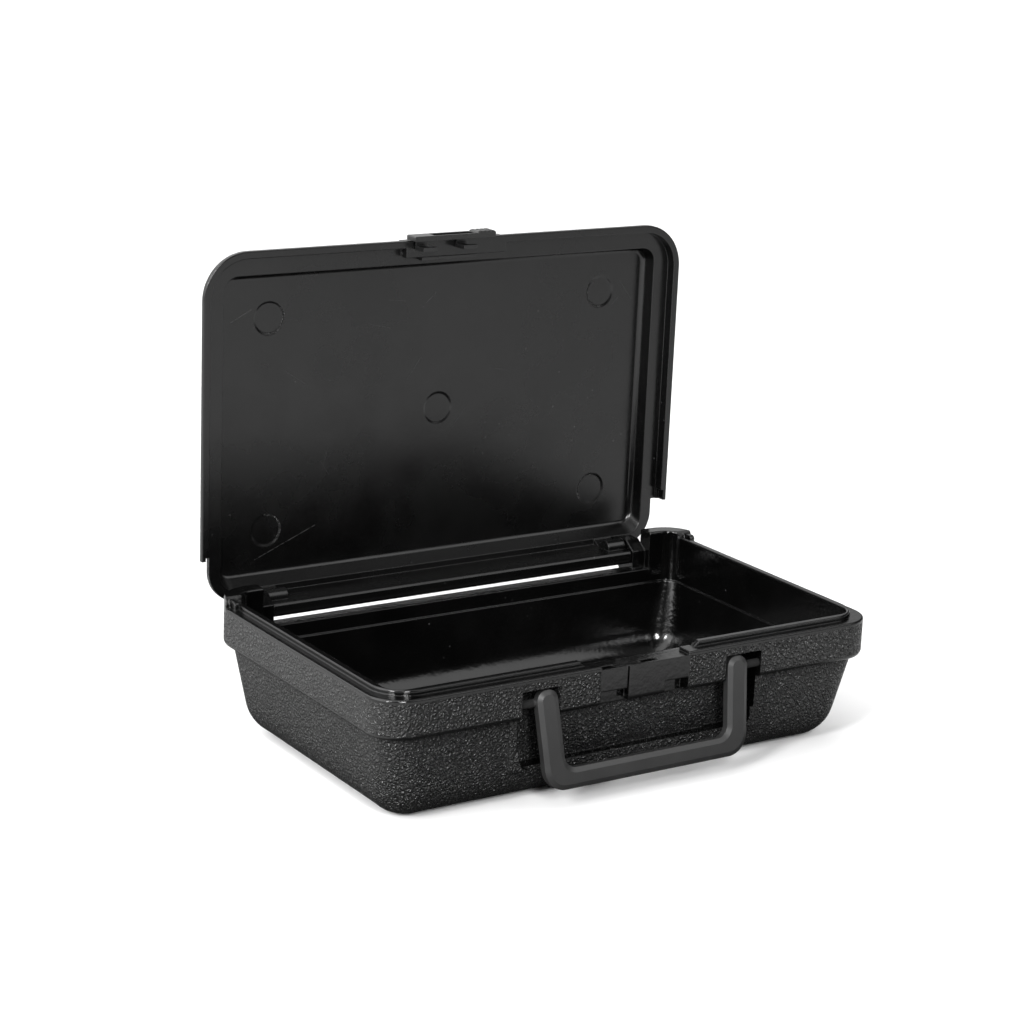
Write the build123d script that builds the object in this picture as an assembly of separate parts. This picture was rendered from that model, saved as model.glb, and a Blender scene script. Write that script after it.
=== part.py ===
"""Small moulded carry case: base, lid on two hinge pins, slide latch and swinging handle.

Millimetres. X runs along the front, +Y points to the hinge side, +Z is up. The origin is at the
centre of the underside of the base. The lid is modelled closed and then turned open about the
hinge, which is how it is written; the handle hangs a few degrees off the vertical.
"""
import os
from build123d import *

# Base: a tapering body under a flared band
BAND_WIDTH = 230.0
BAND_DEPTH = 137.0
BAND_RADIUS = 14.0
BAND_BOTTOM = 36.4
BAND_TOP = 52.3
BODY_INSET = 3.8
BODY_DRAFT = 4.0
BODY_TOP_RADIUS = 10.5
BODY_FOOT_RADIUS = 18.5
BODY_EDGE_FILLET = 16.8
FLOOR = 2.6

# Rim of the base: a ledge outside a low upstand
LEDGE_WIDTH = 4.0
LIP_WIDTH = 3.0
LIP_HEIGHT = 2.0
LIP_CORNER = 14.0
INNER_INSET = LEDGE_WIDTH + LIP_WIDTH
STEP_HEIGHT = 34.0
STEP_WIDTH = 0.9
SLIT_INSET = 2.2
SLIT_TOP = 49.5

# Raised corners beside the hinge
EAR_TOP = 56.6
EAR_NOSE = 52.2
EAR_FRONT = 56.4
EAR_STEP = 2.0
EAR_NOSE_TOP = 55.6
EAR_END = 95.5
EAR_SWING = 17.4

# Hinge
HINGE_Y = 73.3
HINGE_Z = 48.4
PIN_RADIUS = 1.5
PIN_RUNNING_GAP = 0.08
PIN_FIXED_GAP = 0.02
PIN_INNER_END = 81.0
POST_INNER = 89.0
POST_FRONT = 64.6
REAR_WALL_TOP = 40.1
POST_FOOT = 31.0

# Lid, with n measured up from its rim plane
LID_GAP = 0.2
RIM_Z = BAND_TOP + LID_GAP
LID_RADIUS = 19.0
SKIRT_WIDTH = 3.0
SKIRT_LEDGE = 4.4
SKIRT_TOP = 6.4
SKIRT_UPRIGHT = 2.0
SKIRT_REAR = 12.4
PLATE_INSET = 5.2
PLATE_REAR = 7.7
PLATE_RADIUS = 14.0
TRAY_INSET = 7.6
TRAY_TOP = 13.2
TRAY_DRAFT = 1.2
CAVITY_INSET = 10.0
CAVITY_REAR = 5.4
CAVITY_FLOOR = 11.0
CAVITY_DRAFT = 1.6
CAVITY_RAMP = 6.4
CAVITY_RADIUS = 7.0
LID_OPEN_ANGLE = 90.0

# Apron of the lid: the rear wall carried down between the posts
APRON_HALF = 88.6
APRON_FACE = 73.9
APRON_BOTTOM = 40.3
APRON_THICK = 6.1
BEAD_RADIUS = 3.0
BOSS_RADIUS = 3.4
BOSS_LENGTH = 9.0

# Shallow round marks on the lid panel
MARK_RADIUS = 7.0
MARK_DEPTH = 0.35
MARK_X = 80.8
MARK_V = (18.8, 107.3)
MARK_CENTRE_V = 63.0

# Handle and the recess it hangs in; lengths along the leg are measured down from the pivot
HANDLE_OUTER = 49.1
HANDLE_INNER = 39.8
HANDLE_TAPER = 0.07
HANDLE_CROWN = 4.6
HANDLE_BAR_TOP = 26.6
HANDLE_BAR_FOOT = 34.5
HANDLE_THICK = 4.6
HANDLE_BEVEL = 1.9
HANDLE_BEVEL_DEEP = 0.9
HANDLE_OFFSET = 1.0
HANDLE_TILT = 10.0
PIVOT_Y = -66.0
PIVOT_Z = 42.0
TRUNNION_RADIUS = 1.6
TRUNNION_GAP = 0.08
TRUNNION_END = 59.0
SLOT_INNER = 38.6
SLOT_OUTER = 56.0
SLOT_TOP = 47.8
RECESS_HALF = 54.3
RECESS_BOTTOM = 15.5
RECESS_BACK = -56.5
FRAME_HALF = 58.8
FRAME_FACE = -65.7
BULGE_HALF = 57.2
BULGE_FACE = -54.2
BULGE_TOP = 50.0
SADDLE_HALF = 36.8

# Keeper in the middle of the front
KEEPER_HALF = 20.6
KEEPER_TOP = 51.0
KEEPER_BACK = -65.5
ARM_BOTTOM = 42.2
TONGUE_LEFT = -7.6
TONGUE_RIGHT = 9.4
TONGUE_BOTTOM = 37.2
HOOK_POCKET = (-67.0, -64.5)
HOOK_FLOOR = 45.0
BRIDGE_BOTTOM = 48.0
LIP_GAP_HALF = 25.5

# Latch that slides across the keeper, and the block of the lid that carries it
LATCH_TRAVEL = 3.4
LATCH_REST = -3.2
LATCH_HALF = 19.3
LATCH_TOP = 55.2
LATCH_BOTTOM = 48.2
LATCH_BACK = -68.8
LATCH_THICK = 2.0
GRIP_START = 10.6
GRIP_PROUD = 0.7
HOOK_X = (-17.1, 2.2)
HOOK_STEM = 3.4
HOOK_TOE = 3.2
HOOK_THICK = 1.7
HOOK_BACK = -64.9
HOOK_FOOT = 45.4
HOOK_HEEL = 47.6
HOOK_WEB = (51.3, 52.2)
NECK_HALF = 13.0
NECK_Z = (53.7, 55.0)
NECK_GAP = 0.2
BLOCK_HALF = 24.0
BLOCK_BACK = -61.5
ANCHOR_THICK = 1.4

HALF_WIDTH = BAND_WIDTH / 2
HALF_DEPTH = BAND_DEPTH / 2
FRONT = -HALF_DEPTH
REAR = HALF_DEPTH


def box(x0, x1, y0, y1, z0, z1):
    """Box between two corners."""
    centre = Pos((x0 + x1) / 2, (y0 + y1) / 2, (z0 + z1) / 2)
    return centre * Box(x1 - x0, y1 - y0, z1 - z0)


def outline(x_half, y0, y1, radius, z):
    """Rounded rectangle, centred in X, at height z."""
    middle = (y0 + y1) / 2
    return Pos(0, middle, z) * RectangleRounded(2 * x_half, y1 - y0, radius)


def rim(inset, radius, z):
    """Outline of the base, drawn in by inset."""
    return outline(HALF_WIDTH - inset, FRONT + inset, REAR - inset, radius, z)


def prism(face, z0, z1):
    """Upright solid from a face drawn at height z0."""
    return extrude(face, z1 - z0, dir=(0, 0, 1))


def ring(outer, inner, outer_radius, inner_radius, z0, z1):
    """Upright ring between two insets of the base outline."""
    solid = prism(rim(outer, outer_radius, z0), z0, z1)
    return solid - prism(rim(inner, inner_radius, z0), z0, z1)


def side_profile(points, x0, x1):
    """Solid with a closed outline of (y, z) points, running from x0 to x1."""
    wire = Polyline(*[(x0, y, z) for y, z in points], close=True)
    return extrude(make_face(wire), x1 - x0, dir=(1, 0, 0))


def cylinder_x(radius, x0, x1, y, z):
    """Cylinder along X."""
    return Pos((x0 + x1) / 2, y, z) * Rot(0, 90, 0) * Cylinder(radius, x1 - x0)


def both_sides(solid):
    """The solid and its mirror image across the middle of the case."""
    return solid + mirror(solid, about=Plane.YZ)


def edges_at(solid, z, tolerance=0.01):
    """Edges that lie wholly at height z."""
    return [e for e in solid.edges() if abs(e.bounding_box().min.Z - z) < tolerance
            and abs(e.bounding_box().max.Z - z) < tolerance]


def round_level_edges(solid, z, radius):
    """Fillet every edge that lies at height z."""
    return fillet(edges_at(solid, z), radius)


def base_body():
    """Outside of the base: drafted body, flared band."""
    foot = rim(BODY_INSET + BODY_DRAFT, BODY_FOOT_RADIUS, 0)
    top = rim(BODY_INSET, BODY_TOP_RADIUS, BAND_BOTTOM)
    body = round_level_edges(loft([foot, top], ruled=True), 0, BODY_EDGE_FILLET)
    band = prism(rim(0, BAND_RADIUS, BAND_BOTTOM), BAND_BOTTOM, BAND_TOP)
    band = round_level_edges(band, BAND_BOTTOM, 2.4)
    band = round_level_edges(band, BAND_TOP, 0.7)
    return body + band


def base_cavity():
    """Inside of the base, with the step level with the band."""
    lower_inset = INNER_INSET + STEP_WIDTH
    foot_inset = lower_inset + BODY_DRAFT * STEP_HEIGHT / BAND_BOTTOM
    foot = rim(foot_inset, 14.0, FLOOR)
    top = rim(lower_inset, BODY_TOP_RADIUS - 4.0, STEP_HEIGHT)
    lower = round_level_edges(loft([foot, top], ruled=True), FLOOR, 12.0)
    upper = prism(rim(INNER_INSET, BAND_RADIUS - INNER_INSET, STEP_HEIGHT), STEP_HEIGHT, EAR_TOP + 1)
    return lower + upper


def base_lip():
    """Low upstand around the opening, broken at the latch and at the hinge."""
    lip = ring(LEDGE_WIDTH, INNER_INSET, LIP_CORNER, BAND_RADIUS - INNER_INSET,
               BAND_TOP - 0.5, BAND_TOP + LIP_HEIGHT)
    lip = round_level_edges(lip, BAND_TOP + LIP_HEIGHT, 0.6)
    slope = 2.6
    gap = Polyline((-LIP_GAP_HALF, FRONT, BAND_TOP), (LIP_GAP_HALF, FRONT, BAND_TOP),
                   (LIP_GAP_HALF + slope, FRONT, BAND_TOP + LIP_HEIGHT + 0.1),
                   (-LIP_GAP_HALF - slope, FRONT, BAND_TOP + LIP_HEIGHT + 0.1), close=True)
    lip -= extrude(make_face(gap), 12, dir=(0, 1, 0))
    return lip - box(-EAR_END, EAR_END, 0, REAR, BAND_TOP - 1, BAND_TOP + 3)


def base_ears():
    """Raised rear corners: a thick part, curved in front to let the lid swing, and a thinner nose."""
    corner = ring(0, INNER_INSET, BAND_RADIUS, BAND_RADIUS - INNER_INSET, BAND_TOP - 1, EAR_TOP)
    corner = round_level_edges(corner, EAR_TOP, 0.8)
    rear = corner & box(EAR_END, HALF_WIDTH + 1, EAR_FRONT, REAR + 1, 50, 60)
    rear = rear & cylinder_x(EAR_SWING, EAR_END - 1, HALF_WIDTH + 1, HINGE_Y, HINGE_Z)
    nose = box(HALF_WIDTH - LEDGE_WIDTH, HALF_WIDTH - EAR_STEP, EAR_NOSE, EAR_FRONT + 1, BAND_TOP - 1, EAR_NOSE_TOP)
    front = [e for e in nose.edges() if abs(e.center().Y - EAR_NOSE) < 0.01 and e.center().Z > BAND_TOP + 3]
    nose = fillet(front, 1.6)
    return both_sides(rear + nose)


def hinge_posts():
    """Brackets that hold the pins; their rounded backs stop the lid upright."""
    top = HINGE_Z + 3.4
    stop_y = HINGE_Y + (RIM_Z + SKIRT_LEDGE - HINGE_Z) - 0.25
    points = [(POST_FRONT, POST_FOOT + 3.3), (POST_FRONT, HINGE_Z - 0.6), (HINGE_Y - 3.2, top),
              (HINGE_Y + 3.0, top), (HINGE_Y + 6.2, HINGE_Z + 2.4), (stop_y, HINGE_Z - 0.8),
              (stop_y, HINGE_Z - 3.0), (REAR - 0.5, POST_FOOT)]
    post = side_profile(points, POST_INNER, EAR_END + 0.01)
    hole = cylinder_x(PIN_RADIUS + PIN_FIXED_GAP, POST_INNER - 1, EAR_END + 2, HINGE_Y, HINGE_Z)
    return both_sides(post - hole)


def handle_recess():
    """What is cut away for the handle: two slots in the band, a pocket under them."""
    slot = box(SLOT_INNER, SLOT_OUTER, FRONT - 1, RECESS_BACK, RECESS_BOTTOM + 8, SLOT_TOP)
    pocket = box(-RECESS_HALF, RECESS_HALF, FRONT - 8, RECESS_BACK, RECESS_BOTTOM, BAND_BOTTOM)
    upright = [e for e in pocket.edges() if e.bounding_box().size.Y > 5
               and e.bounding_box().max.Z < RECESS_BOTTOM + 1]
    pocket = fillet(upright, 4.0)
    bore = cylinder_x(TRUNNION_RADIUS + TRUNNION_GAP, SLOT_OUTER - 1, TRUNNION_END + 0.4, PIVOT_Y, PIVOT_Z)
    return pocket + both_sides(slot + bore)


def recess_saddle():
    """Wall between the handle legs, hollowed under the band so that fingers go behind the bar."""
    face = ThreePointArc((0, -58.2, RECESS_BOTTOM), (0, -62.4, 24.5), (0, -64.5, BAND_BOTTOM + 1))
    back = Polyline((0, -64.5, BAND_BOTTOM + 1), (0, RECESS_BACK + 1, BAND_BOTTOM + 1),
                    (0, RECESS_BACK + 1, RECESS_BOTTOM), (0, -58.2, RECESS_BOTTOM))
    half = extrude(make_face(Curve() + [face, back]), SADDLE_HALF, dir=(1, 0, 0))
    return both_sides(half)


def keeper_cuts():
    """Relief under and between the keeper's arms, and the pockets that the latch hooks drop into."""
    cuts = box(-KEEPER_HALF, KEEPER_HALF, FRONT - 1, FRONT + INNER_INSET + 1, KEEPER_TOP, BAND_TOP + 1)
    cuts += box(-KEEPER_HALF, TONGUE_LEFT, FRONT - 1, KEEPER_BACK, BAND_BOTTOM - 1, ARM_BOTTOM)
    cuts += box(TONGUE_RIGHT, KEEPER_HALF, FRONT - 1, KEEPER_BACK, BAND_BOTTOM - 1, ARM_BOTTOM)
    cuts += box(TONGUE_LEFT, TONGUE_RIGHT, FRONT - 1, KEEPER_BACK, BAND_BOTTOM - 1, TONGUE_BOTTOM)
    cuts += box(-10.8, TONGUE_LEFT - 0.3, FRONT - 1, KEEPER_BACK + 2.2, 38.6, ARM_BOTTOM)
    cuts += box(16.6, KEEPER_HALF, FRONT - 1, KEEPER_BACK + 2.2, 36.9, ARM_BOTTOM)
    cuts += box(TONGUE_LEFT - 0.9, TONGUE_LEFT, FRONT - 1, FRONT + 1.2, ARM_BOTTOM - 1, KEEPER_TOP + 1)
    front, back = HOOK_POCKET
    for hook_x in HOOK_X:
        start = hook_x + LATCH_REST - 0.4
        mouth = start + HOOK_STEM + HOOK_TOE + 0.8
        cuts += box(start, mouth, front, back, HOOK_FLOOR, KEEPER_TOP + 1)
        cuts += box(mouth - 0.1, mouth + LATCH_TRAVEL, front, back, HOOK_FLOOR, BRIDGE_BOTTOM)
    return cuts


def base_shell():
    """The base in one piece."""
    body = base_body()
    shell = body + base_lip() + base_ears()
    frame = box(-FRAME_HALF, FRAME_HALF, FRAME_FACE, FRONT + INNER_INSET + 2, RECESS_BOTTOM, BAND_BOTTOM + 1)
    shell += frame
    shell -= base_cavity()
    bulge = box(-BULGE_HALF, BULGE_HALF, FRONT + INNER_INSET - 1, BULGE_FACE, FLOOR, BULGE_TOP)
    bulge = fillet([e for e in bulge.edges() if abs(e.center().Y - BULGE_FACE) < 0.01
                    and e.center().Z > FLOOR + 1], 3.0)
    shell += bulge & body
    slit = ring(SLIT_INSET, BODY_INSET, BAND_RADIUS - SLIT_INSET, BAND_RADIUS - BODY_INSET,
                BAND_BOTTOM - 1, SLIT_TOP)
    slit -= box(-FRAME_HALF - 2, FRAME_HALF + 2, FRONT - 1, 0, 30, 60)
    slit -= box(-EAR_END - 3, EAR_END + 3, 0, REAR + 1, 30, 60)
    shell -= slit
    shell -= handle_recess()
    shell += recess_saddle()
    shell -= keeper_cuts()
    shell -= box(-EAR_END, EAR_END, REAR - INNER_INSET - 2, REAR + 1, REAR_WALL_TOP, EAR_TOP + 2)
    return shell + hinge_posts()


def hinge_pin(side):
    """Steel pin with chamfered ends, held by the post and turning in the lid."""
    pin = cylinder_x(PIN_RADIUS, PIN_INNER_END, EAR_END, HINGE_Y, HINGE_Z)
    pin = chamfer(pin.edges().filter_by(GeomType.CIRCLE), 0.3)
    return pin if side > 0 else mirror(pin, about=Plane.YZ)


def lid_y(v):
    """Depth of a line that lies v in front of the rear edge of the closed lid's outline."""
    return REAR - v


def lid_outline(x_half, v_rear, v_front, radius, n):
    """Rounded rectangle on the closed lid, n above its rim plane."""
    return outline(x_half, lid_y(v_front), lid_y(v_rear), radius, RIM_Z + n)


def lid_skirt():
    """Skirt around the front and the sides; its ends thin down to pass outside the base's noses."""
    behind = REAR + 2 * LID_RADIUS
    outer = outline(HALF_WIDTH, FRONT, behind, LID_RADIUS, RIM_Z)
    inner = outline(HALF_WIDTH - SKIRT_WIDTH, FRONT + SKIRT_WIDTH, behind - SKIRT_WIDTH,
                    LID_RADIUS - SKIRT_WIDTH, RIM_Z)
    skirt = prism(outer, RIM_Z, RIM_Z + SKIRT_TOP)
    slope = SKIRT_TOP - SKIRT_UPRIGHT
    skirt = chamfer(edges_at(skirt, RIM_Z + SKIRT_TOP), slope - 0.01, SKIRT_WIDTH)
    skirt = round_level_edges(skirt, RIM_Z, 0.4)
    skirt -= prism(inner, RIM_Z, RIM_Z + SKIRT_LEDGE)
    skirt -= box(-HALF_WIDTH - 1, HALF_WIDTH + 1, lid_y(SKIRT_REAR), behind + 1, RIM_Z - 1, RIM_Z + SKIRT_TOP + 1)
    relief = box(HALF_WIDTH - SKIRT_WIDTH - 0.1, HALF_WIDTH - EAR_STEP + 0.3, EAR_NOSE - 0.8, REAR,
                 RIM_Z - 1, EAR_NOSE_TOP + 0.4)
    return skirt - both_sides(relief)


def lid_tray():
    """Top of the lid: the plate that bridges the rim, and the raised tray above it."""
    plate = prism(lid_outline(HALF_WIDTH - PLATE_INSET, -PLATE_REAR, BAND_DEPTH - SKIRT_WIDTH,
                              PLATE_RADIUS, SKIRT_LEDGE), RIM_Z + SKIRT_LEDGE, RIM_Z + SKIRT_TOP)
    low = lid_outline(HALF_WIDTH - TRAY_INSET, -PLATE_REAR, BAND_DEPTH - TRAY_INSET, 12.5, SKIRT_LEDGE)
    top_inset = TRAY_INSET + TRAY_DRAFT
    high = lid_outline(HALF_WIDTH - top_inset, TRAY_DRAFT - PLATE_REAR, BAND_DEPTH - top_inset, 12.5, TRAY_TOP)
    tray = round_level_edges(loft([low, high], ruled=True), RIM_Z + TRAY_TOP, 3.0)
    return plate + tray


def lid_cavity():
    """Inside of the lid; its rear wall slopes up to the panel."""
    low = lid_outline(HALF_WIDTH - CAVITY_INSET, -CAVITY_REAR, BAND_DEPTH - CAVITY_INSET, CAVITY_RADIUS, 0)
    inset = CAVITY_INSET + CAVITY_DRAFT
    high = lid_outline(HALF_WIDTH - inset, CAVITY_RAMP - CAVITY_REAR, BAND_DEPTH - inset,
                       CAVITY_RADIUS - 1, CAVITY_FLOOR)
    return round_level_edges(loft([low, high], ruled=True), RIM_Z + CAVITY_FLOOR, 2.2)


def lid_marks():
    """Five shallow round marks on the inner panel."""
    marks = None
    places = [(0, MARK_CENTRE_V)] + [(x, v) for x in (-MARK_X, MARK_X) for v in MARK_V]
    for x, v in places:
        mark = Pos(x, lid_y(v), RIM_Z + CAVITY_FLOOR) * Cone(MARK_RADIUS, MARK_RADIUS - 0.9, MARK_DEPTH,
                                                             align=(Align.CENTER, Align.CENTER, Align.MIN))
        marks = mark if marks is None else marks + mark
    return marks


def lid_apron():
    """Rear wall carried down between the posts, with a boss for each pin."""
    top = RIM_Z + SKIRT_TOP
    outer = lid_y(-PLATE_REAR)
    bead = APRON_FACE + APRON_THICK
    points = [(APRON_FACE, APRON_BOTTOM + 0.8), (APRON_FACE + 0.8, APRON_BOTTOM), (bead, APRON_BOTTOM),
              (bead, HINGE_Z - 2.4), (outer, HINGE_Z), (outer, top), (APRON_FACE, top)]
    apron = side_profile(points, -APRON_HALF, APRON_HALF)
    corner = [e for e in apron.edges().filter_by(Axis.X)
              if e.center().Y > bead - 0.01 and e.center().Z < APRON_BOTTOM + 0.01]
    apron = fillet(corner, BEAD_RADIUS)
    boss = cylinder_x(BOSS_RADIUS, APRON_HALF - BOSS_LENGTH, APRON_HALF, HINGE_Y, HINGE_Z)
    rib = box(APRON_HALF - BOSS_LENGTH, APRON_HALF, HINGE_Y - 1.5, APRON_FACE + 1, HINGE_Z, RIM_Z + SKIRT_LEDGE)
    return apron + both_sides(boss + rib)


def lid_pin_holes():
    """Blind holes that the hinge pins turn in."""
    return both_sides(cylinder_x(PIN_RADIUS + PIN_RUNNING_GAP, PIN_INNER_END - 0.5, APRON_HALF + 1,
                                 HINGE_Y, HINGE_Z))


def latch_block():
    """Solid part of the front rim that the latch is carried in."""
    return box(-BLOCK_HALF, BLOCK_HALF, FRONT + 0.5, BLOCK_BACK, RIM_Z, RIM_Z + SKIRT_TOP)


def latch_slot():
    """Slot through the block that the latch's neck slides in."""
    low, high = NECK_Z
    left = LATCH_REST - NECK_HALF - NECK_GAP
    right = LATCH_REST + LATCH_TRAVEL + NECK_HALF + NECK_GAP
    return box(left, right, FRONT - 1, BLOCK_BACK + 0.5, low - NECK_GAP, high + NECK_GAP)


def turned_open(solid):
    """A piece of the closed lid in its open place."""
    hinge = Pos(0, HINGE_Y, HINGE_Z)
    return hinge * Rot(-LID_OPEN_ANGLE, 0, 0) * hinge.inverse() * solid


def lid_shell():
    """The lid in one piece, open."""
    shell = lid_skirt() + lid_tray() + lid_apron() + latch_block()
    shell -= lid_cavity()
    shell -= lid_marks()
    shell -= lid_pin_holes()
    shell -= latch_slot()
    return turned_open(shell)


def latch_hook():
    """Hook that drops into the keeper: web over its top, stem down behind its face, toe to the right."""
    low, high = HOOK_WEB
    web = box(0, HOOK_STEM + 2, LATCH_BACK - 0.1, HOOK_BACK, low, high)
    stem = box(0, HOOK_STEM, HOOK_BACK - HOOK_THICK, HOOK_BACK, HOOK_FOOT, high)
    toe = box(0, HOOK_STEM + HOOK_TOE, HOOK_BACK - HOOK_THICK, HOOK_BACK, HOOK_FOOT, HOOK_HEEL)
    return web + stem + toe


def bevelled_bar(x0, x1, front, back, bevel):
    """Piece of the latch bar with bevelled edges round its outer face."""
    bar = box(x0, x1, front, back, LATCH_BOTTOM, LATCH_TOP)
    return chamfer(bar.faces().sort_by(Axis.Y)[0].edges(), bevel)


def slide_latch():
    """Latch bar with its finger recess and grip, two hooks, and the neck and anchor in the lid."""
    front = LATCH_BACK - LATCH_THICK
    bar = bevelled_bar(-LATCH_HALF, LATCH_HALF, front, LATCH_BACK, 0.4)
    bar += bevelled_bar(GRIP_START, LATCH_HALF, front - GRIP_PROUD, LATCH_BACK - 0.5, 0.6)
    bar -= box(-9.8, GRIP_START - 1.0, front - 1, front + 0.9, LATCH_BOTTOM + 1.0, LATCH_TOP - 1.6)
    for groove_x in (12.6, 14.6, 16.6):
        bar -= box(groove_x, groove_x + 0.7, front - 1, front - GRIP_PROUD + 0.4, LATCH_BOTTOM - 1, LATCH_TOP + 1)
    low, high = NECK_Z
    neck = box(-NECK_HALF, NECK_HALF, LATCH_BACK - 0.1, BLOCK_BACK + 0.4, low, high)
    anchor = box(-NECK_HALF, NECK_HALF, BLOCK_BACK + 0.2, BLOCK_BACK + 0.2 + ANCHOR_THICK, low - 0.6, high + 1.2)
    latch = bar + neck + anchor
    for hook_x in HOOK_X:
        latch += Pos(hook_x, 0, 0) * latch_hook()
    return turned_open(Pos(LATCH_REST, 0, 0) * latch)


def handle_outline(grow, y):
    """Outline of the handle at depth y, drawn in by grow; the pivot is at the origin."""
    plane = Plane(origin=(0, y, 0), x_dir=(1, 0, 0), z_dir=(0, -1, 0))
    top = HANDLE_CROWN - grow
    foot = -HANDLE_BAR_FOOT + grow
    opening_foot = -HANDLE_BAR_TOP - grow
    opening_top = HANDLE_CROWN + 10
    outer_top = HANDLE_OUTER - grow + HANDLE_TAPER * top
    outer_foot = HANDLE_OUTER - grow + HANDLE_TAPER * foot
    inner_top = HANDLE_INNER + grow + HANDLE_TAPER * opening_top
    inner_foot = HANDLE_INNER + grow + HANDLE_TAPER * opening_foot
    blank = make_face(Polyline((-outer_top, top), (-outer_foot, foot), (outer_foot, foot), (outer_top, top),
                               close=True))
    blank = fillet([v for v in blank.vertices() if v.Y < 0], 9.0 - grow)
    opening = make_face(Polyline((-inner_top, opening_top), (-inner_foot, opening_foot),
                                 (inner_foot, opening_foot), (inner_top, opening_top), close=True))
    opening = fillet([v for v in opening.vertices() if v.Y < 0], 5.0 + grow)
    shape = blank - opening
    crown = [v for v in shape.vertices() if v.Y > top - 0.01]
    leg = HANDLE_OUTER - HANDLE_INNER - 2 * grow
    return plane * fillet(crown, leg / 2 - 0.3)


def carry_handle():
    """Flat bail with bevelled edges and a trunnion on the outside of each leg."""
    half = HANDLE_THICK / 2
    deep = HANDLE_BEVEL_DEEP
    bail = extrude(handle_outline(0, half - deep), HANDLE_THICK - 2 * deep, dir=(0, -1, 0))
    bail += loft([handle_outline(0, deep - half), handle_outline(HANDLE_BEVEL, -half)], ruled=True)
    bail += loft([handle_outline(0, half - deep), handle_outline(HANDLE_BEVEL, half)], ruled=True)
    bail = Pos(0, -HANDLE_OFFSET, 0) * bail
    bail += both_sides(cylinder_x(TRUNNION_RADIUS, HANDLE_OUTER - 3, TRUNNION_END, 0, 0))
    return Pos(0, PIVOT_Y, PIVOT_Z) * Rot(-HANDLE_TILT, 0, 0) * bail


PARTS = {
    "base_shell": base_shell(),
    "lid_shell": lid_shell(),
    "slide_latch": slide_latch(),
    "carry_handle": carry_handle(),
    "left_hinge_pin": hinge_pin(-1),
    "right_hinge_pin": hinge_pin(1),
}

os.makedirs("parts", exist_ok=True)
for name, solid in PARTS.items():
    export_step(solid, f"parts/{name}.step")
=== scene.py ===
import math
import random

import bpy
from mathutils import Matrix, Vector


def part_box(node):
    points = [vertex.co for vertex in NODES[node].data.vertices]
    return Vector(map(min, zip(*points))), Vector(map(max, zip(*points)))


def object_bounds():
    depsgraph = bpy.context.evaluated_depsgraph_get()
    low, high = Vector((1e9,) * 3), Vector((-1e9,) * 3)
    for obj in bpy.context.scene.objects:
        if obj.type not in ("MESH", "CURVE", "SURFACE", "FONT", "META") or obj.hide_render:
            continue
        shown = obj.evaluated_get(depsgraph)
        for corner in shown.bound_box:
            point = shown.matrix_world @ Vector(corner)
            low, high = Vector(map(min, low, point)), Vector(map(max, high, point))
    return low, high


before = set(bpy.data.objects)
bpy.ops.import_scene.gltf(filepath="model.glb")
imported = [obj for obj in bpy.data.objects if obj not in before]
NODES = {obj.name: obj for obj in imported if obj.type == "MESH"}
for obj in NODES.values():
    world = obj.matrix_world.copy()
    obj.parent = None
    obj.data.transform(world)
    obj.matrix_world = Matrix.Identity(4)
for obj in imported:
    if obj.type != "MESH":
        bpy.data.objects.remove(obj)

cad_low, cad_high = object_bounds()

# Soft edges of the base's pebble grain, in metres: each pair is where it starts and ends to fade
RIM_STRIP = (0.0503, 0.0510)
BAND_FOOT_LOWER = (0.0360, 0.0364)
BAND_FOOT_UPPER = (0.0380, 0.0388)
GROUND_STRIP = (0.0018, 0.0045)
KEEPER_SIDE = (0.0206, 0.0212)
KEEPER_FOOT = (0.0350, 0.0364)
KEEPER_FACE = (-0.0610, -0.0600)

# The lid at rest, standing open: plane behind which its outside is pebbled, and its panel's face
TRAY_Y = 0.0800
PANEL_Y = 0.0884

# Half width beyond which the handle sits inside its slots, where its colour is painted black as shade
HANDLE_SLOT_SIDE = 0.0498

# Camera, aimed like the photograph
AZIMUTH, ELEVATION, ROLL = -33.57, 15.5, 2.42
AIM = Vector((-0.0187, 0.0, 0.09516))
DISTANCE = 1.00006
LENS, SENSOR = 89.52, 36.0


# Node helpers

def wire(tree, value, socket):
    """Link a socket, or set a plain value."""
    if isinstance(value, bpy.types.NodeSocket):
        tree.links.new(value, socket)
    elif value is not None:
        socket.default_value = value


def maths(tree, operation, first, second=None, clamp=False):
    made = tree.nodes.new("ShaderNodeMath")
    made.operation = operation
    made.use_clamp = clamp
    wire(tree, first, made.inputs[0])
    wire(tree, second, made.inputs[1])
    return made.outputs[0]


def total(tree, first, *others):
    for other in others:
        first = maths(tree, "ADD", first, other)
    return first


def product(tree, first, *others):
    for other in others:
        first = maths(tree, "MULTIPLY", first, other)
    return first


def inverse(tree, value):
    """One minus the value, to turn a mask around."""
    return maths(tree, "SUBTRACT", 1.0, value)


def vectors(tree, operation, first, second=None):
    made = tree.nodes.new("ShaderNodeVectorMath")
    made.operation = operation
    wire(tree, first, made.inputs[0])
    wire(tree, second, made.inputs[1])
    return made.outputs["Value" if operation in ("DOT_PRODUCT", "LENGTH") else "Vector"]


def scaled(tree, vector, factor):
    made = tree.nodes.new("ShaderNodeVectorMath")
    made.operation = "SCALE"
    wire(tree, vector, made.inputs[0])
    wire(tree, factor, made.inputs["Scale"])
    return made.outputs["Vector"]


def ramp(tree, value, low, high, to_low=0.0, to_high=1.0):
    """Value mapped smoothly from low..high to to_low..to_high."""
    made = tree.nodes.new("ShaderNodeMapRange")
    made.interpolation_type = "SMOOTHSTEP"
    wire(tree, value, made.inputs["Value"])
    made.inputs["From Min"].default_value = low
    made.inputs["From Max"].default_value = high
    made.inputs["To Min"].default_value = to_low
    made.inputs["To Max"].default_value = to_high
    return made.outputs["Result"]


def above(tree, value, edge):
    """Mask that rises over the soft edge."""
    return ramp(tree, value, edge[0], edge[1])


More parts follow.
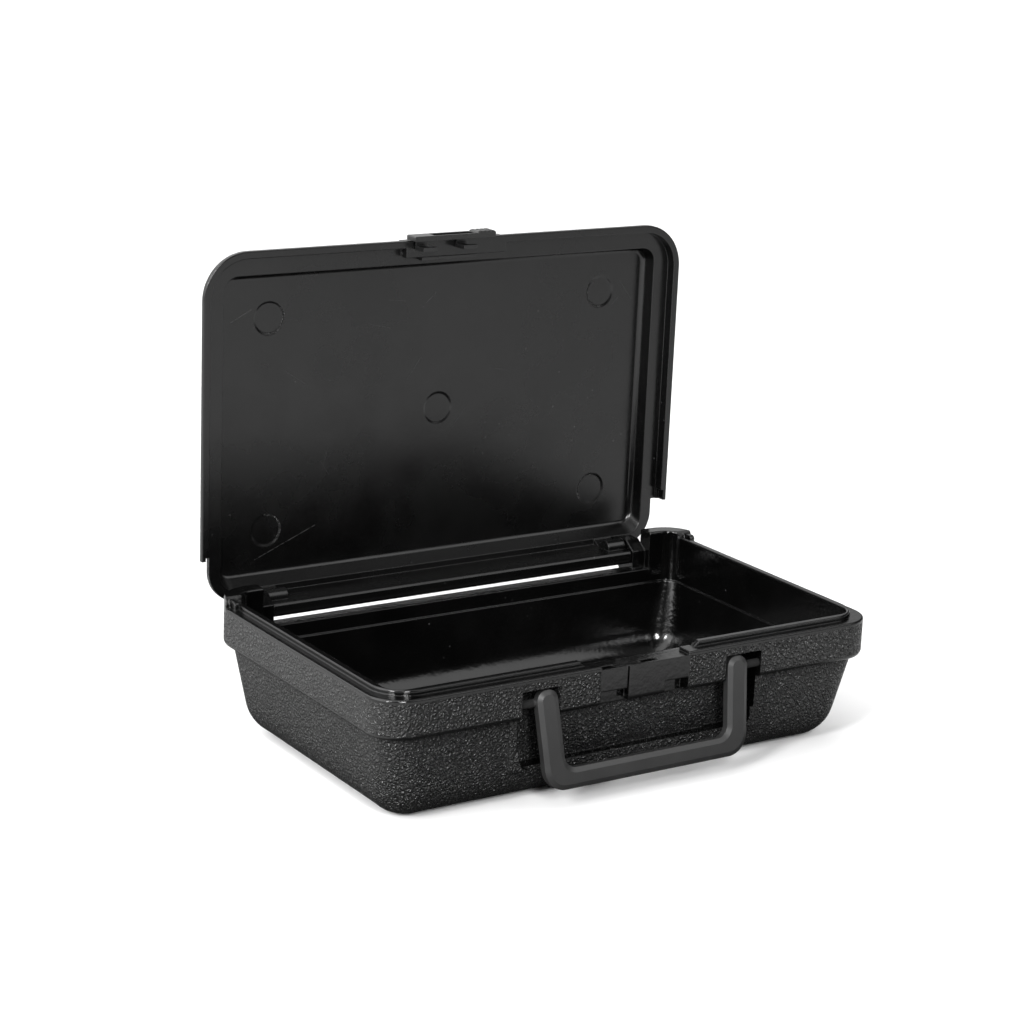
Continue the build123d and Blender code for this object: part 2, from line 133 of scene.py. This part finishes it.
def below(tree, value, edge):
    """Mask that falls over the soft edge."""
    return ramp(tree, value, edge[1], edge[0])


def parts(tree, vector):
    made = tree.nodes.new("ShaderNodeSeparateXYZ")
    wire(tree, vector, made.inputs[0])
    return made.outputs[0], made.outputs[1], made.outputs[2]


def grey(tree, tone):
    made = tree.nodes.new("ShaderNodeCombineColor")
    for channel in range(3):
        wire(tree, tone, made.inputs[channel])
    return made.outputs[0]


def places(tree):
    """Coordinates and normal of a piece in its own rest frame, in metres."""
    made = tree.nodes.new("ShaderNodeTexCoord")
    return made.outputs["Object"], made.outputs["Normal"]


def stretched(tree, vector, scale):
    """Coordinates scaled unevenly, for marks that run one way."""
    made = tree.nodes.new("ShaderNodeMapping")
    wire(tree, vector, made.inputs["Vector"])
    made.inputs["Scale"].default_value = scale
    return made.outputs["Vector"]


def noise(tree, vector, scale, detail=3.0):
    made = tree.nodes.new("ShaderNodeTexNoise")
    wire(tree, vector, made.inputs["Vector"])
    made.inputs["Scale"].default_value = scale
    made.inputs["Detail"].default_value = detail
    made.inputs["Roughness"].default_value = 0.55
    return made.outputs["Fac"]


def cells(tree, vector, scale, feature="F1"):
    made = tree.nodes.new("ShaderNodeTexVoronoi")
    made.feature = feature
    wire(tree, vector, made.inputs["Vector"])
    made.inputs["Scale"].default_value = scale
    return made.outputs["Distance"]


def bumped(tree, height, distance, strength, normal):
    made = tree.nodes.new("ShaderNodeBump")
    made.inputs["Distance"].default_value = distance
    wire(tree, strength, made.inputs["Strength"])
    wire(tree, height, made.inputs["Height"])
    wire(tree, normal, made.inputs["Normal"])
    return made.outputs["Normal"]


def softened(tree, radius):
    """Normal rounded off at the moulded edges, and how much of an edge each spot is."""
    made = tree.nodes.new("ShaderNodeBevel")
    made.samples = 6
    made.inputs["Radius"].default_value = radius
    flat = tree.nodes.new("ShaderNodeNewGeometry").outputs["Normal"]
    alike = vectors(tree, "DOT_PRODUCT", made.outputs["Normal"], flat)
    return made.outputs["Normal"], ramp(tree, alike, 0.995, 0.86)


# Surface patterns. Texture scales are in cells or waves per metre.

def pebble(tree, place):
    """Height of a moulded leather grain: irregular pebbles parted by fine creases."""
    drift = tree.nodes.new("ShaderNodeTexNoise")
    wire(tree, place, drift.inputs["Vector"])
    drift.inputs["Scale"].default_value = 420.0
    drift.inputs["Detail"].default_value = 2.0
    off_centre = vectors(tree, "SUBTRACT", drift.outputs["Color"], (0.5, 0.5, 0.5))
    warped = vectors(tree, "ADD", place, scaled(tree, off_centre, 0.0011))
    large = ramp(tree, cells(tree, warped, 620.0, "DISTANCE_TO_EDGE"), 0.0, 0.30)
    small = ramp(tree, cells(tree, warped, 1150.0, "DISTANCE_TO_EDGE"), 0.0, 0.36)
    fine = noise(tree, place, 2100.0, 2.0)
    return total(tree, product(tree, large, 0.62), product(tree, small, 0.3), product(tree, fine, 0.16))


def scuff(tree, place, start, end, width):
    """One scratch between two points of a surface, broken up along its length."""
    run = Vector(end) - Vector(start)
    along = vectors(tree, "SUBTRACT", place, tuple(start))
    ahead = vectors(tree, "DOT_PRODUCT", along, tuple(run))
    share = maths(tree, "DIVIDE", ahead, run.length_squared, clamp=True)
    away = vectors(tree, "LENGTH", vectors(tree, "SUBTRACT", along, scaled(tree, tuple(run), share)))
    line = ramp(tree, away, width, width * 0.3)
    return product(tree, line, ramp(tree, noise(tree, place, 900.0, 2.0), 0.36, 0.56))


def scratched(tree, place, marks):
    """All of a surface's scratches together."""
    lines = 0.0
    for start, end, width in marks:
        lines = maths(tree, "MAXIMUM", lines, scuff(tree, place, start, end, width))
    return lines


def dust(tree, place):
    """Sparse specks, in patches."""
    size = 0.085
    speck = ramp(tree, cells(tree, place, 170.0), size, size * 0.45)
    return product(tree, speck, ramp(tree, noise(tree, place, 30.0, 2.0), 0.46, 0.66))


# Materials

def plastic(name, shade, gloss, softness=0.00035, peel=0.00001, grain=None, marks=(), slot_side=None):
    """Black moulded plastic.

    shade is its base tone and gloss its roughness, softness the rounding of its edges, peel the
    height of its faint ripple. grain gives, from place and normal, where the surface is pebbled.
    Beyond slot_side, a half width, the piece sits inside a slot, where its colour is painted black as
    shade and it is made rougher.
    """
    material = bpy.data.materials.new(name)
    material.use_nodes = True
    tree = material.node_tree
    shader = tree.nodes["Principled BSDF"]
    place, normal = places(tree)
    soft_normal, edge = softened(tree, softness)
    mottle = noise(tree, place, 55.0, 4.0)
    haze = noise(tree, place, 13.0)
    lines = scratched(tree, place, marks)

    rough = total(tree, ramp(tree, haze, 0.3, 0.7, gloss - 0.035, gloss + 0.045),
                  ramp(tree, mottle, 0.3, 0.7, -0.02, 0.03))
    surface = bumped(tree, noise(tree, place, 520.0, 1.0), peel, 1.0, soft_normal)
    surface = bumped(tree, noise(tree, place, 1900.0), 0.000006, 0.2, surface)
    if marks:
        surface = bumped(tree, inverse(tree, lines), 0.00002, 0.5, surface)
    if grain is not None:
        where = grain(tree, place, normal)
        height = pebble(tree, place)
        # The pebbled skin has a lighter tone of its own; on top of it the creases are painted darker
        # and the crests lighter, as painted shade in the creases
        painted_crease_shade = ramp(tree, height, 0.25, 0.85, 0.1, 1.9)
        shade = total(tree, shade, product(tree, where, painted_crease_shade, 0.007))
        surface = bumped(tree, height, 0.0008, where, surface)
        crease = ramp(tree, height, 0.2, 0.75, 0.30, 0.0)
        pebbled_gloss = 0.18
        grained = total(tree, rough, pebbled_gloss - gloss, crease)
        rough = total(tree, product(tree, grained, where), product(tree, rough, inverse(tree, where)))
    if marks:
        rough = total(tree, rough, product(tree, lines, 0.2))
    rough = maths(tree, "ADD", rough, product(tree, edge, 0.05), clamp=True)

    tone = product(tree, ramp(tree, mottle, 0.25, 0.75, 0.85, 1.2), shade)
    tone = total(tree, tone, product(tree, edge, shade, 0.9), product(tree, dust(tree, place), 0.03))
    if marks:
        tone = total(tree, tone, product(tree, lines, 0.02))
    if slot_side is not None:
        side, _, _ = parts(tree, place)
        shaded_in_slot = ramp(tree, maths(tree, "ABSOLUTE", side), slot_side, slot_side + 0.0004)
        # Painted shade: inside the slot the colour goes to black, and the surface is made rougher
        tone = product(tree, tone, inverse(tree, shaded_in_slot))
        rough = maths(tree, "ADD", rough, product(tree, shaded_in_slot, 0.5), clamp=True)
    wire(tree, grey(tree, tone), shader.inputs["Base Color"])
    wire(tree, rough, shader.inputs["Roughness"])
    wire(tree, surface, shader.inputs["Normal"])
    shader.inputs["IOR"].default_value = 1.49
    return material


def outside_of_base(tree, place, normal):
    """Pebbled outside walls; the rim, the band's foot, the keeper and the inside stay smooth."""
    x, y, z = parts(tree, place)
    from_middle = vectors(tree, "NORMALIZE", vectors(tree, "MULTIPLY", place, (1, 1, 0)))
    outward = ramp(tree, vectors(tree, "DOT_PRODUCT", from_middle, normal), 0.06, 0.2)
    band_foot = product(tree, above(tree, z, BAND_FOOT_LOWER), below(tree, z, BAND_FOOT_UPPER))
    keeper = product(tree, below(tree, maths(tree, "ABSOLUTE", x), KEEPER_SIDE),
                     above(tree, z, KEEPER_FOOT), below(tree, y, KEEPER_FACE))
    return product(tree, outward, below(tree, z, RIM_STRIP), inverse(tree, band_foot),
                   above(tree, z, GROUND_STRIP), inverse(tree, keeper))


def outside_of_lid(tree, place, normal):
    """Pebbled outside of the lid's tray."""
    low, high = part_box("lid_shell")
    away = vectors(tree, "SUBTRACT", place, (0.0, TRAY_Y, (low.z + high.z) / 2))
    _, y, _ = parts(tree, place)
    outward = ramp(tree, vectors(tree, "DOT_PRODUCT", away, normal), 0.0004, 0.0020)
    return product(tree, outward, ramp(tree, y, TRAY_Y, TRAY_Y + 0.0012))


def steel(name):
    """Drawn steel, with fine lines along X."""
    material = bpy.data.materials.new(name)
    material.use_nodes = True
    tree = material.node_tree
    shader = tree.nodes["Principled BSDF"]
    place, _ = places(tree)
    drawn = noise(tree, stretched(tree, place, (40, 4000, 4000)), 1.0)
    soft_normal, _ = softened(tree, 0.00015)
    wire(tree, ramp(tree, drawn, 0.3, 0.7, 0.22, 0.4), shader.inputs["Roughness"])
    wire(tree, bumped(tree, drawn, 0.000005, 0.6, soft_normal), shader.inputs["Normal"])
    shader.inputs["Base Color"].default_value = (0.45, 0.45, 0.46, 1)
    shader.inputs["Metallic"].default_value = 1.0
    return material


def dress(node, material):
    mesh = NODES[node].data
    mesh.materials.clear()
    mesh.materials.append(material)


def panel_point(side, drop):
    """A spot on the lid's inner panel: side in X from the middle, drop from the lid's top."""
    _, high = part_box("lid_shell")
    return (side, PANEL_Y, high.z - drop)


def hair_scratches(count, seed):
    """Short fine scratches scattered over the lid's inner panel."""
    dice = random.Random(seed)
    made = []
    for _ in range(count):
        side, drop = dice.uniform(-0.095, 0.095), dice.uniform(0.02, 0.125)
        length, turn = dice.uniform(0.003, 0.013), dice.uniform(0.0, math.pi)
        start = panel_point(side, drop)
        end = panel_point(side + length * math.cos(turn), drop + length * math.sin(turn))
        made.append((start, end, dice.uniform(0.00010, 0.00018)))
    return made


def dress_all():
    long_scratches = [
        (panel_point(-0.0982, 0.0305), panel_point(-0.0885, 0.0256), 0.00035),
        (panel_point(-0.0857, 0.1301), panel_point(-0.0576, 0.1185), 0.0003),
    ]
    marks = hair_scratches(12, 7) + long_scratches
    dress("base_shell", plastic("base_black", shade=0.001, gloss=0.18, softness=0.0008,
                                peel=0.00009, grain=outside_of_base))
    dress("lid_shell", plastic("lid_black", shade=0.0015, gloss=0.24, softness=0.0006,
                               grain=outside_of_lid, marks=marks))
    dress("slide_latch", plastic("latch_black", shade=0.006, gloss=0.28, softness=0.0002))
    dress("carry_handle", plastic("handle_black", shade=0.018, gloss=0.38, softness=0.00025,
                                  slot_side=HANDLE_SLOT_SIDE))
    pin_steel = steel("pin_steel")
    dress("left_hinge_pin", pin_steel)
    dress("right_hinge_pin", pin_steel)


# Floor, light and camera

def placed(name, data):
    made = bpy.data.objects.new(name, data)
    bpy.context.scene.collection.objects.link(made)
    return made


def facing(made, direction):
    """Turn a light so that it shines from the direction given."""
    made.rotation_mode = "QUATERNION"
    made.rotation_quaternion = Vector(direction).to_track_quat("Z", "Y")


def floor():
    """Plain white floor. It shows its full tone to the camera and returns less to everything else,
    least beside the object: a painted shadow, seen only in reflections and bounced light, which keeps
    the black plastic as dark as it is in the photograph.
    """
    mesh = bpy.data.meshes.new("floor")
    reach = 14.0
    corners = [(-reach, -reach, 0), (reach, -reach, 0), (reach, reach, 0), (-reach, reach, 0)]
    mesh.from_pydata(corners, [], [(0, 1, 2, 3)])
    made = placed("floor", mesh)
    made.location.z = cad_low.z - 0.0002
    material = bpy.data.materials.new("floor_white")
    material.use_nodes = True
    tree = material.node_tree
    shader = tree.nodes["Principled BSDF"]
    place, _ = places(tree)
    shown = ramp(tree, noise(tree, place, 1.4, 2.0), 0.3, 0.7, 0.80, 0.83)
    seen = tree.nodes.new("ShaderNodeLightPath").outputs["Is Camera Ray"]
    half = ((cad_high.x - cad_low.x) / 2, (cad_high.y - cad_low.y) / 2, 1.0)
    beyond = vectors(tree, "SUBTRACT", vectors(tree, "ABSOLUTE", place), half)
    aside, ahead, _ = parts(tree, vectors(tree, "MAXIMUM", beyond, (0, 0, 0)))
    away = total(tree, ahead, product(tree, aside, 8.0))
    # Painted shadow: to all but the camera the floor is darkest beside the object, and this shade
    # reaches further in front and behind than to the sides
    painted_shade_return = ramp(tree, away, 0.02, 0.13, 0.05, 0.60)
    share = total(tree, painted_shade_return, product(tree, seen, inverse(tree, painted_shade_return)))
    wire(tree, grey(tree, product(tree, shown, share)), shader.inputs["Base Color"])
    shader.inputs["Roughness"].default_value = 0.85
    mesh.materials.append(material)


def sun(name, direction, strength, spread):
    light = bpy.data.lights.new(name, "SUN")
    light.energy = strength
    light.angle = math.radians(spread)
    facing(placed(name, light), direction)


def softbox(name, direction, distance, size, power):
    """Area light that looks at the middle of the object."""
    light = bpy.data.lights.new(name, "AREA")
    light.shape = "RECTANGLE"
    light.energy = power
    light.size, light.size_y = size
    made = placed(name, light)
    away = Vector(direction).normalized()
    made.location = (cad_low + cad_high) / 2 + away * distance
    facing(made, away)


def studio():
    """Light from a surround that is white behind and to the left, dim in front, with one bright
    patch above the front right. The camera sees a plain white background.
    """
    world = bpy.data.worlds.new("studio")
    bpy.context.scene.world = world
    world.use_nodes = True
    tree = world.node_tree
    tree.nodes.clear()
    out = tree.nodes.new("ShaderNodeOutputWorld")
    direction = tree.nodes.new("ShaderNodeTexCoord").outputs["Generated"]
    bright_side = Vector((-0.62, 0.72, 0.3)).normalized()
    patch_side = Vector((0.53, -0.52, 0.67)).normalized()
    towards_bright = vectors(tree, "DOT_PRODUCT", direction, tuple(bright_side))
    towards_patch = vectors(tree, "DOT_PRODUCT", direction, tuple(patch_side))
    around = tree.nodes.new("ShaderNodeBackground")
    strength = total(tree, ramp(tree, towards_bright, -0.12, 0.65, 0.01, 1.7),
                     ramp(tree, towards_patch, 0.90, 0.97, 0.0, 2.4))
    wire(tree, strength, around.inputs["Strength"])
    background = tree.nodes.new("ShaderNodeBackground")
    background.inputs["Color"].default_value = (1, 1, 1, 1)
    mix = tree.nodes.new("ShaderNodeMixShader")
    wire(tree, tree.nodes.new("ShaderNodeLightPath").outputs["Is Camera Ray"], mix.inputs[0])
    wire(tree, around.outputs[0], mix.inputs[1])
    wire(tree, background.outputs[0], mix.inputs[2])
    wire(tree, mix.outputs[0], out.inputs["Surface"])


def camera():
    azimuth, elevation, roll = (math.radians(angle) for angle in (AZIMUTH, ELEVATION, ROLL))
    back = Vector((math.sin(azimuth) * math.cos(elevation), -math.cos(azimuth) * math.cos(elevation),
                   math.sin(elevation)))
    right = Vector((math.cos(azimuth), math.sin(azimuth), 0))
    up = back.cross(right)
    turned_right = right * math.cos(roll) + up * math.sin(roll)
    turned_up = up * math.cos(roll) - right * math.sin(roll)
    lens = bpy.data.cameras.new("camera")
    lens.lens, lens.sensor_width = LENS, SENSOR
    lens.clip_start, lens.clip_end = 0.05, 60.0
    made = placed("camera", lens)
    turn = Matrix((turned_right, turned_up, back)).transposed().to_4x4()
    made.matrix_world = Matrix.Translation(AIM + back * DISTANCE) @ turn
    bpy.context.scene.camera = made


dress_all()
floor()
sun("overhead", (-0.35, 0.30, 0.9), 1.8, 80)
sun("left_window", (-0.95, 0.10, 0.30), 1.3, 50)
softbox("front_softbox", (-0.33, -0.87, 0.46), 1.6, (0.26, 0.42), 21)
softbox("side_softbox", (-0.84, -0.44, 0.46), 1.6, (0.26, 0.42), 21)
studio()
camera()
bpy.context.scene.view_settings.view_transform = "Standard"
